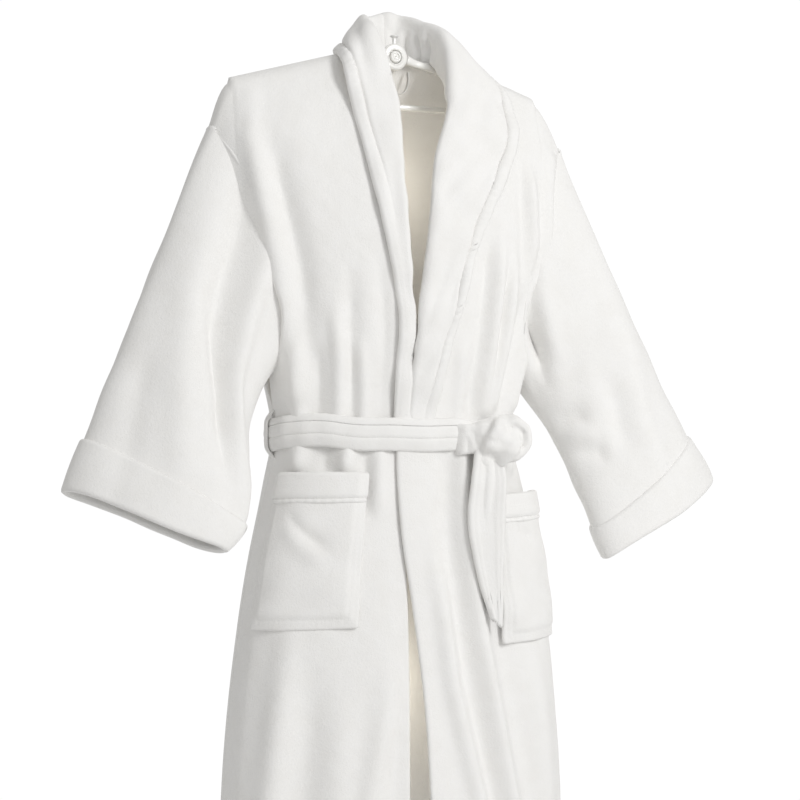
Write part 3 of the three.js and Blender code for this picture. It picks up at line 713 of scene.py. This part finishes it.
def collar_grid(side, columns, rows):
    seam, roll, edge = [], [], []
    for path, points in zip((seam, roll, edge), zip(*NECK_STATIONS[side])):
        path.extend(points)
    lift = LAPEL_LIFT[side]
    for k, ((xi, zi), (xo, zo)) in enumerate(zip(LAPEL_INNER[side], LAPEL_OUTER[side])):
        raised = lift + 0.010 * max(0, 1 - k / 3)
        if zi < -0.42:
            # the belt holds the end of the lapel down
            raised = mix(raised, 0.0055, float(smooth((-0.42 - zi) / 0.09)))
        roll.append(on_front(xi, zi, raised))
        seam.append((xi + side * 0.001, roll[-1][1] + 0.004, zi - 0.001))
        outer_lift = min(raised, lift + 0.002 * (side > 0)) + 0.003 * max(0, 1 - k / 3)
        edge.append(on_front(xo, zo, outer_lift))
    # the three paths advance together, so that each row crosses the collar squarely
    places = np.linspace(0, 1, rows)
    lines = [curve(points, 20) for points in (seam, roll, edge)]
    seam, roll, edge = [sampled(line, np.linspace(0, 1, len(line)), places) for line in lines]
    grid = np.zeros((rows, columns, 3))
    u = np.linspace(0, 1, columns)
    for j in range(rows):
        a, b, c = seam[j], roll[j], edge[j]
        rise, fall = np.linalg.norm(b - a), np.linalg.norm(c - b)
        share = rise / (rise + fall)
        line = np.where((u < share)[:, None], a + (b - a) * (u / share)[:, None],
                        b + (c - b) * ((u - share) / (1 - share))[:, None])
        grid[j] = line
    for _ in range(60):
        grid[:, 1:-1] = 0.25 * grid[:, :-2] + 0.5 * grid[:, 1:-1] + 0.25 * grid[:, 2:]
    for _ in range(26):
        grid[1:-1] = 0.25 * grid[:-2] + 0.5 * grid[1:-1] + 0.25 * grid[2:]
    return grid


def collar_piece(word, side):
    columns, rows = 72, 330
    grid = collar_grid(side, columns, rows)
    n = normals_of(grid)
    # across the collar: distance from the outer edge, along it: distance from the centre back
    across = np.linalg.norm(np.diff(grid, axis=1), axis=2)
    to_edge = np.concatenate([np.cumsum(across[:, ::-1], axis=1)[:, ::-1], np.zeros((rows, 1))], axis=1)
    along = np.concatenate([[0], np.cumsum(np.linalg.norm(np.diff(grid[:, 50], axis=0), axis=1))])[:, None]
    band = 0.014
    width = to_edge[:, :1]
    room = np.clip((width - 0.03) / 0.03, 0, 1)
    groove = bell(to_edge - band, 0.0028) * room
    pucker = np.sin(along / 0.0125 * math.tau + 1.7 * np.sin(along / 0.045 * math.tau))
    near_stitch = bell(to_edge - band + 0.004, 0.007) * room
    thickness = (0.0085 if side < 0 else 0.0105) - 0.0040 * groove
    thickness += 0.0020 * bell(to_edge - 0.006, 0.006)
    relief = -0.0016 * groove + 0.0004 * pucker * near_stitch
    relief += 0.0014 * waves(along, to_edge * 1.3, 0.06, 71 + side)
    # the short cross folds where the lining is crowded round the neck
    crowd = bell(along - 0.075, 0.05) * smooth((to_edge - width * 0.64) / 0.02)
    relief += 0.0030 * np.sin(along / 0.030 * math.tau + 0.8) * crowd
    relief *= smooth(along / 0.012)
    # the end of the lapel goes flat under the belt
    thickness = thickness * (1 - 0.4 * smooth((-0.46 - grid[..., 2]) / 0.06))
    sign = -1 if side > 0 else 1
    grid = grid + n * sign * relief[..., None]
    grid[0, :, 0] = 0.008 + side * 0.0004
    collar = thick_cloth(f"collar_cloth_{word}", grid, thickness, flip=(side > 0))
    dress(collar, PLUSH, "robe")
    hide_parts(f"collar_{word}")
    return collar


collars = {word: collar_piece(word, side) for word, side in SIDES.items()}


# --- pockets
POCKETS = {"right": (0.099, -0.5955, 0.004), "left": (0.118, -0.6285, 0.000)}
POCKET_HEIGHT = 0.192
BAND = 0.031


def pocket_surface(side, inner, top, tilt, u, v, lift):
    """u runs from the inner side to the side seam, v from the mouth down."""
    z = top - v * POCKET_HEIGHT - tilt * u
    reach = half_width(z)
    begin = np.arcsin(inner / half_width(np.array(top - POCKET_HEIGHT)))
    turn = mix(begin, math.radians(76), u)
    x = reach * np.sin(turn) * side
    sag = 0.010 * np.sin(np.clip(u, 0, 1) * math.pi) * (1 - v) ** 2
    y = -cloth_depth(-1, x, z)
    grid = np.stack(np.broadcast_arrays(x, y, z), axis=2)
    n = normals_of(grid)
    n *= np.sign(-n[..., 1:2])
    inside = np.minimum(np.minimum(u, 1 - u) / 0.10, np.minimum((1 - v) / 0.10, 1))
    body = lift + 0.0055 * smooth(inside) + sag * 0.8
    return grid, n, body


pockets, hems = {}, {}
for word, (inner, top, tilt) in POCKETS.items():
    side = SIDES[word]
    u = np.linspace(0, 1, 90)[None, :]
    v = np.linspace(0, 1, 100)[:, None]
    grid, n, body = pocket_surface(side, inner, top, tilt, u, v, 0.0062)
    uu, vv = np.broadcast_arrays(u, v)
    stitched = np.minimum(np.minimum(uu, 1 - uu) * 0.145, (1 - vv) * POCKET_HEIGHT)
    body = body - 0.0022 * bell(stitched - 0.011, 0.0018)
    body = body + 0.0003 * np.sin(uu * 110) * bell(stitched - 0.006, 0.004)
    body = body + 0.0013 * waves(uu * 0.15, vv * 0.2, 0.07, 83 + side)
    if side < 0:
        body = body + fold(uu, vv, [(0.78, 0.22), (0.52, 0.38), (0.20, 0.52)], 0.05, -0.0045, (0, 0))
        body = body + fold(uu, vv, [(0.75, 0.30), (0.50, 0.47), (0.22, 0.60)], 0.07, 0.0030, (0, 0))
    else:
        body = body + fold(uu, vv, [(0.20, 0.18), (0.55, 0.34)], 0.06, -0.0030, (0, 0))
    grid = relaxed(grid + n * body[..., None], 2)
    pocket = thick_cloth(f"pocket_cloth_{word}", grid, 0.0060, flip=(side < 0))
    dress(pocket, PLUSH, "robe")
    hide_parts(f"pocket_{word}")
    pockets[word] = pocket
    rows = 22
    v = np.linspace(-0.006, BAND / POCKET_HEIGHT, rows)[:, None]
    grid, n, body = pocket_surface(side, inner, top, tilt, u, np.maximum(v, 0), 0.0062)
    grid = grid + np.array([0, 0, -1]) * np.minimum(v, 0)[..., None] * POCKET_HEIGHT
    seam = bell(np.linspace(0, 1, rows) - 0.92, 0.10)[:, None]
    body = body + 0.0032 - 0.0020 * seam + 0.0005 * np.sin(u * 75) * seam
    band = thick_cloth(f"pocket_hem_{word}", grid + n * body[..., None],
                       0.0082 - 0.0036 * seam + 0 * u, flip=(side < 0))
    dress(band, PLUSH, "robe")
    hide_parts(f"pocket_band_{word}")
    hems[word] = band

# --- belt, knot and tails
def belt_ring(turns, lift):
    """Places round the waist. Turn 0 is the wearer's left, a quarter turn the front."""
    c, s = np.cos(turns), np.sin(turns)
    x = float(half_width(np.array(BELT_LEVEL))) * np.sign(c) * np.abs(c) ** 0.97
    level = np.full(x.shape, BELT_LEVEL)
    y = np.where(s > 0, -cloth_depth(-1, x, level), cloth_depth(1, x, level))
    z = level + np.where(s > 0, -0.040 * x - 0.001, 0.0) * smooth(np.abs(s) * 2)
    ring = np.stack([x, y, z], axis=1)
    for _ in range(8):
        ring = 0.25 * np.roll(ring, 1, axis=0) + 0.5 * ring + 0.25 * np.roll(ring, -1, axis=0)
    along = np.roll(ring, -1, axis=0) - np.roll(ring, 1, axis=0)
    outward = np.stack([-along[:, 1], along[:, 0], 0 * x], axis=1)
    outward /= np.linalg.norm(outward, axis=1, keepdims=True)
    outward *= np.sign((outward * ring).sum(axis=1, keepdims=True))
    return ring + outward * lift, outward


columns, rows = 420, 26
turns = np.linspace(0, math.tau, columns, endpoint=False)
ring, outward = belt_ring(turns, 0.0105)
turns = turns[None, :]
w = np.linspace(-1, 1, rows)[:, None]
grid = np.repeat(ring[None], rows, axis=0)
outward = np.repeat(outward[None], rows, axis=0)
narrow = 1 - 0.14 * bell(turns - 1.05, 0.16)
grid[..., 2] += -w * BELT_WIDTH * 0.47 * narrow
ribs = 0.0030 * (1 - w ** 2) + 0.0007 * waves(turns * 0.17, w * 0.02, 0.06, 97)
ribs = ribs - 0.0015 * bell(w - 0.22, 0.10) - 0.0012 * bell(w + 0.62, 0.09)
sag = 0.0014 * np.sin(turns * 5 + 1.3) + 0.0008 * np.sin(turns * 11)
grid[..., 2] += sag
grid += outward * ribs[..., None]
belt = thick_cloth("belt", grid, 0.0085, closed=True, flip=False)
dress(belt, PLUSH, "robe")
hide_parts("belt_wrap")


def band_along(name, points, widths, half_thick, across, puff=0.0, seed=3):
    """A strip of belt along a path. widths are half widths, spread evenly along its length."""
    grid, normal, t, w = strip_frame(spline(points, 90), across, widths, 20)
    curl = puff * (1 - w ** 2) + 0.0012 * waves(t * 0.25, w * 0.02, 0.05, seed)
    curl = curl - 0.0013 * bell(np.abs(w) - 0.62, 0.10)
    return thick_cloth(name, grid + normal * curl[..., None], half_thick * 2)


def select(*objects):
    """Select these objects alone, the first one active."""
    bpy.ops.object.select_all(action="DESELECT")
    for obj in objects:
        obj.select_set(True)
    bpy.context.view_layer.objects.active = objects[0]


def joined(name, objects):
    select(*objects)
    bpy.ops.object.join()
    obj = bpy.context.view_layer.objects.active
    obj.name = name
    return obj


def applied(obj, *modifiers):
    select(obj)
    for modifier in modifiers:
        bpy.ops.object.modifier_apply(modifier=modifier.name)
    return obj


def inflated(obj, pressure, frames, cap):
    """Lets the cloth of a closed piece swell and settle for a moment, no point moving further than cap."""
    scene = bpy.context.scene
    count = len(obj.data.vertices)
    before = np.empty(count * 3)
    obj.data.vertices.foreach_get("co", before)
    cloth = obj.modifiers.new("cloth", "CLOTH")
    cloth.settings.quality = 6
    cloth.settings.mass = 0.25
    cloth.settings.tension_stiffness = 18
    cloth.settings.compression_stiffness = 18
    cloth.settings.bending_stiffness = 0.4
    cloth.settings.use_pressure = True
    cloth.settings.uniform_pressure_force = pressure
    cloth.settings.effector_weights.gravity = 0
    cloth.point_cache.frame_start, cloth.point_cache.frame_end = 1, frames
    for frame_number in range(1, frames + 1):
        scene.frame_set(frame_number)
    settled = obj.evaluated_get(bpy.context.evaluated_depsgraph_get()).to_mesh()
    after = np.empty(count * 3)
    settled.vertices.foreach_get("co", after)
    obj.modifiers.remove(cloth)
    scene.frame_set(1)
    before, after = before.reshape(-1, 3), after.reshape(-1, 3)
    move = after - before
    size = np.linalg.norm(move, axis=1, keepdims=True)
    move *= np.minimum(1, cap / np.maximum(size, 1e-9))
    obj.data.vertices.foreach_set("co", (before + move).ravel())
    obj.data.update()


KX, KY, KZ = KNOT_CENTRE.x, KNOT_CENTRE.y, KNOT_CENTRE.z


def near_knot(*offsets):
    return [(KX + a, KY + b, KZ + c) for a, b, c in offsets]


strips = [
    # the belt comes in from the middle, crowded together
    band_along("knot_in", near_knot((-0.056, 0.009, 0.001), (-0.036, -0.001, 0.001), (-0.016, -0.012, 0.001),
                                    (0.010, -0.006, 0.002)), [0.017, 0.0145, 0.012, 0.012], 0.0052, (0, 0,
                                                                                                     1)),
    # its other layer, rising over the top of the knot
    band_along("knot_rise", near_knot((-0.040, 0.008, 0.008), (-0.024, -0.006, 0.015), (-0.005, -0.011,
                                                                                        0.020),
                                      (0.016, -0.003, 0.021)), [0.008, 0.010, 0.011, 0.010], 0.0050, (0.1,
                                                                                                      0.6,
                                                                                                      1),
               puff=0.002, seed=4),
    # the full turn in front
    band_along("knot_turn", near_knot((-0.010, 0.002, -0.028), (-0.012, -0.015, -0.019), (-0.006, -0.024,
                                                                                          -0.003),
                                      (0.001, -0.019, 0.012), (0.005, -0.005, 0.021)),
               [0.011, 0.016, 0.0195, 0.018, 0.014], 0.0058, (0.80, 0, -0.60), puff=0.004, seed=5),
    # the rounded edge at the wearer's left that closes it
    band_along("knot_close", near_knot((0.000, 0.002, 0.024), (0.019, -0.004, 0.025), (0.034, -0.003, 0.012),
                                       (0.033, -0.003, -0.008), (0.018, -0.005, -0.021), (0.002, -0.004,
                                                                                          -0.024)),
               [0.010, 0.013, 0.014, 0.014, 0.013, 0.010], 0.0060, (0.1, 1, 0), puff=0.002, seed=8),
    # fullness behind the turn
    band_along("knot_core", near_knot((0.006, -0.002, -0.014), (0.021, -0.009, -0.004), (0.024, -0.008,
                                                                                         0.009)),
               [0.012, 0.014, 0.011], 0.0080, (0.7, 0.2, -0.6), puff=0.002, seed=9),
    # a fold of the end that shows below
    band_along("knot_low", near_knot((-0.020, 0.000, -0.012), (-0.024, -0.004, -0.024), (-0.018, -0.003,
                                                                                         -0.036)),
               [0.009, 0.009, 0.006], 0.0042, (1, 0, 0.2), puff=0.001, seed=12),
]
knot = joined("belt_knot_cloth", strips)
remesh = knot.modifiers.new("remesh", "REMESH")
remesh.mode = "VOXEL"
remesh.voxel_size = 0.0027
calm = knot.modifiers.new("calm", "SMOOTH")
calm.factor = 0.5
calm.iterations = 2
applied(knot, remesh, calm)
inflated(knot, 4.0, 14, 0.0028)
finer = knot.modifiers.new("finer", "SUBSURF")
finer.levels = 1
applied(knot, finer)
knot.data.polygons.foreach_set("use_smooth", [True] * len(knot.data.polygons))
knot.data.materials.clear()
dress(knot, PLUSH, "robe")
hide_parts("belt_knot")


def tail_piece(name, points, widths, tip, seed):
    """A loose end of the belt: two stitched layers that end in a slanted point."""
    grid, normal, t, w = strip_frame(spline(points, 150), (1.0, -0.10, 0.0), widths, 22)
    grid[..., 2] -= smooth((t - 0.80) / 0.20) * tip * (w * 0.5 + 0.5)
    relief = 0.0030 * (1 - w ** 2) * (1 - t * 0.5)
    relief = relief - 0.0008 * bell(np.abs(w) - 0.66, 0.09)
    relief = relief + 0.0012 * waves(t * 0.22, w * 0.02, 0.06, seed)
    relief = relief + fold(t + 0 * w, w + 0 * t, [(0.0, 0.15), (0.4, -0.1)], 0.16, -0.003, (1, 0))
    tail = thick_cloth(name, grid - normal * relief[..., None], 0.0080)
    dress(tail, PLUSH, None)
    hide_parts(f"belt_{name}")
    return tail


def middle_depth(node):
    low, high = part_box(node)
    return (low.y + high.y) / 2


fy, by = middle_depth("belt_tail_front"), middle_depth("belt_tail_back")
tail_front = tail_piece("tail_front", [(0.084, fy, -0.562), (0.084, fy - 0.002, -0.600),
                                       (0.080, fy - 0.003, -0.655), (0.085, fy - 0.003, -0.720),
                                       (0.095, fy - 0.002, -0.783)],
                        [0.015, 0.021, 0.0225, 0.0215, 0.017, 0.012, 0.006], 0.012, 15)
tail_back = tail_piece("tail_back", [(0.092, by + 0.002, -0.566), (0.092, by, -0.60), (0.091, by, -0.66),
                                     (0.094, by - 0.001, -0.72), (0.098, by - 0.002, -0.772)],
                       [0.014, 0.019, 0.0200, 0.0190, 0.015, 0.010, 0.005], 0.008, 16)

# --- belt loops and hanging loop
for word, side in SIDES.items():
    seam = [float(half_width(np.array(BELT_LEVEL + h))) for h in (-0.031, 0.031)]
    waist = float(half_width(np.array(BELT_LEVEL))) + 0.0185
    path = [(seam[1] + 0.002, 0.034), (seam[1] + 0.008, 0.027), (waist, 0.017), (waist + 0.0006, 0),
            (waist, -0.017),
            (seam[0] + 0.008, -0.027), (seam[0] + 0.002, -0.034)]
    path = spline([(side * a, 0.0, BELT_LEVEL + h) for a, h in path], 70)
    loop = tube_mesh(f"side_loop_{word}", path, 0.0050, 0.0015, (0, 1, 0))
    dress(loop, PLUSH, "robe")
    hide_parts(f"belt_loop_{word}")

low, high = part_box("hanging_loop")
loop_y = (low.y + high.y) / 2
across, drop = high.x - 0.004, high.z - low.z
half_loop = [(1, high.z - 0.001), (1, high.z - drop * 0.45), (0.78, low.z + 0.006), (0.3, low.z + 0.0022)]
path = [(-across * a, loop_y, z) for a, z in half_loop] + [(across * a, loop_y, z) for a,
                                                           z in half_loop[::-1]]
neck_loop = tube_mesh("hanging_loop_tape", spline(path, 110), 0.0031, 0.0010, (0, 1, 0))
dress(neck_loop, TAPE, "neck_loop")
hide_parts("hanging_loop")


# --- hanger
def turned(name, profile, centre, axis, sides=72):
    """A body turned about an axis. profile lists (distance from the axis, place along it)."""
    line = []
    for k, (r, h) in enumerate(profile):
        before, after = profile[k - 1], profile[(k + 1) % len(profile)]
        for other in (before, after):
            d = math.hypot(other[0] - r, other[1] - h)
            c = min(0.0009, d * 0.3) / max(d, 1e-9)
            line.append((r + (other[0] - r) * c, h + (other[1] - h) * c))
    vertices, faces = [], []
    count = len(line)
    for i in range(sides):
        a = i * math.tau / sides
        for r, h in line:
            p = (r * math.cos(a), r * math.sin(a), h)
            vertices.append((p[0], h, p[1]) if axis == "y" else p)
    for i in range(sides):
        for k in range(count):
            i2, k2 = (i + 1) % sides, (k + 1) % count
            faces.append([i * count + k, i * count + k2, i2 * count + k2, i2 * count + k])
    obj = make_object(name, np.array(vertices) + np.array(centre), faces)
    select(obj)
    bpy.ops.object.mode_set(mode="EDIT")
    bpy.ops.mesh.select_all(action="SELECT")
    bpy.ops.mesh.normals_make_consistent(inside=False)
    bpy.ops.object.mode_set(mode="OBJECT")
    return obj


hub_radius = (HUB_HIGH.z - HUB_LOW.z) / 2
hub_half = (HUB_HIGH.y - HUB_LOW.y) / 2
EYE = 0.0091
hub = turned("hub", [(EYE, -hub_half + 0.001), (EYE + 0.0016, -hub_half), (EYE + 0.0022, -hub_half + 0.0006),
                     (hub_radius - 0.0035, -hub_half + 0.0006), (hub_radius - 0.0012, -hub_half + 0.0012),
                     (hub_radius, -hub_half + 0.0035), (hub_radius, hub_half - 0.0035),
                     (hub_radius - 0.0012, hub_half - 0.0012), (hub_radius - 0.0035, hub_half - 0.0006),
                     (EYE + 0.0022, hub_half - 0.0006), (EYE + 0.0016, hub_half), (EYE, hub_half - 0.001)],
             (0, 0, HUB_LEVEL), "y")
dress(hub, PLASTIC, "robe")
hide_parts("hanger_hub")
low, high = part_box("hub_button")
half = (high.y - low.y) / 2
rim = (high.z - low.z) / 2
button = turned("button", [(0.0004, -half + 0.0008), (0.0030, -half + 0.0008), (0.0036, -half + 0.0013),
                           (0.0044, -half + 0.0013), (0.0050, -half + 0.0002), (rim - 0.0014, -half),
                           (rim, -half + 0.0014), (rim, half - 0.0014), (rim - 0.0014, half), (0.0004,
                   half - 0.0004)],
                (0, (low.y + high.y) / 2, (low.z + high.z) / 2), "y")
dress(button, PLASTIC, "robe")
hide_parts("hub_button")

for word, side in SIDES.items():
    path = [(0.0178, 0, -0.0325), (0.030, 0, -0.0365), (0.060, 0, -0.043), (0.120, 0, -0.060), (0.180, 0,
                                                                                                -0.080),
            (0.205, 0, -0.092), (0.2145, 0, -0.0985), (0.2155, 0, -0.1012)]
    path = spline([(side * a, b, c) for a, b, c in path], 120)
    t = np.linspace(0, 1, 120)
    round_ = 0.0049 - 0.0007 * smooth((t - 0.85) / 0.15) + 0.0012 * bell(t, 0.05)
    arm = tube_mesh(f"arm_{word}", path, round_ * 1.02, round_ * 0.92, (0, 0, 1), sides=28)
    dress(arm, PLASTIC, "robe")
    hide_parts(f"hanger_arm_{word}")
low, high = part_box("hanger_bar")
reach = high.x
level = (low.z + high.z) / 2 + 0.005
path = spline([(-reach, 0, level), (-reach * 0.6, 0, level - 0.0004), (0, 0, level - 0.0008),
               (reach * 0.6, 0, level - 0.0004), (reach, 0, level)], 90)
bar = tube_mesh("bar", path, 0.0039, 0.0039, (0, 0, 1), sides=28)
dress(bar, PLASTIC, "robe")
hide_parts("hanger_bar")
low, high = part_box("hanger_stem")
head = (high.x - low.x) / 2
stem = turned("stem", [(0.0003, high.z - 0.0001), (head - 0.0016, high.z - 0.0001), (head - 0.0003,
                                                                                     high.z - 0.0009),
                       (head - 0.0003, high.z - 0.0020), (head - 0.0016, high.z - 0.0028), (0.0030,
                                                                                            high.z - 0.0036),
                       (0.0028, high.z - 0.0060), (0.0028, low.z + 0.001), (0.0020, low.z + 0.0001),
                       (0.0003, low.z + 0.0001)], (0, 0, 0), "z")
dress(stem, STEEL, "stem")
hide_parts("hanger_stem")

# --- the fronts, sleeves and belt tails: their placement baked into the mesh, the frame's parts hidden
for word in SIDES:
    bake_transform(fronts[word])
    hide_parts(f"front_panel_{word}", f"front_flap_{word}")
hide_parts("back_panel")
for word, side in SIDES.items():
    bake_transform(sleeves[word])
    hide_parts(f"sleeve_{word}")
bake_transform(tail_front)
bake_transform(tail_back)

# --- studio
def stage_plane(name, size, place, turn, material):
    w, h = size[0] / 2, size[1] / 2
    plane = make_object(name, np.array([(-w, -h, 0), (w, -h, 0), (w, h, 0), (-w, h, 0)]), [[0, 1, 2, 3]])
    plane.location = place
    plane.rotation_euler = turn
    plane.data.materials.append(material)
    return plane


paper = bpy.data.materials.new("studio_paper")
paper.use_nodes = True
put(paper.node_tree.nodes["Principled BSDF"], {"Base Color": (0.9, 0.9, 0.9, 1), "Roughness": 0.9})
rim = [(1.25 * math.cos(k * math.tau / 96), 1.25 * math.sin(k * math.tau / 96), 0) for k in range(96)]
floor = make_object("floor", np.array(rim), [list(range(96))])
floor.location = (0, 0, HEM_LEVEL - 0.12)
floor.data.materials.append(paper)
bright = bpy.data.materials.new("studio_backdrop")
bright.use_nodes = True
glow = bright.node_tree.nodes["Principled BSDF"]
put(glow, {"Base Color": (0, 0, 0, 1), "Specular IOR Level": 0, "Emission Color": (1, 1, 1, 1),
           "Emission Strength": 1.02})
stage_plane("backdrop", (4.6, 3.4), (1.30, 2.79, -0.40), (math.radians(90), 0, math.radians(-25)), bright)

world = bpy.data.worlds.new("studio")
world.use_nodes = True
put(world.node_tree.nodes["Background"], {"Color": (1.0, 0.995, 0.985, 1), "Strength": 0.54})
bpy.context.scene.world = world


def lamp(name, kind, place, energy):
    data = bpy.data.lights.new(name, kind)
    data.energy = energy
    light = bpy.data.objects.new(name, data)
    light.location = place
    bpy.context.scene.collection.objects.link(light)
    return light


key = lamp("key", "AREA", (1.05, -2.8, 0.8), 50)
key.data.shape = "RECTANGLE"
key.data.size, key.data.size_y = 0.9, 1.2
key.rotation_euler = (Vector((0, 0, -0.6)) - key.location).to_track_quat("-Z", "Y").to_euler()
# light that comes through the cloth
for name, level, energy in (("glow_chest", -0.21, 0.17), ("glow_skirt", -0.90, 0.26)):
    glow_lamp = lamp(name, "POINT", (0, 0, level), energy)
    glow_lamp.data.color = (1.0, 0.93, 0.80)
    glow_lamp.data.shadow_soft_size = 0.03

camera_data = bpy.data.cameras.new("camera")
camera_data.sensor_width = 36
camera_data.lens = 82.7
camera = bpy.data.objects.new("camera", camera_data)
aim = Vector((0.00725, -0.0034, -0.496))
look = Vector((math.sin(math.radians(25)), math.cos(math.radians(25)), 0))
camera.location = aim - look * 2.5
camera.rotation_euler = look.to_track_quat("-Z", "Y").to_euler()
bpy.context.scene.collection.objects.link(camera)
bpy.context.scene.camera = camera
bpy.context.scene.view_settings.view_transform = "Standard"
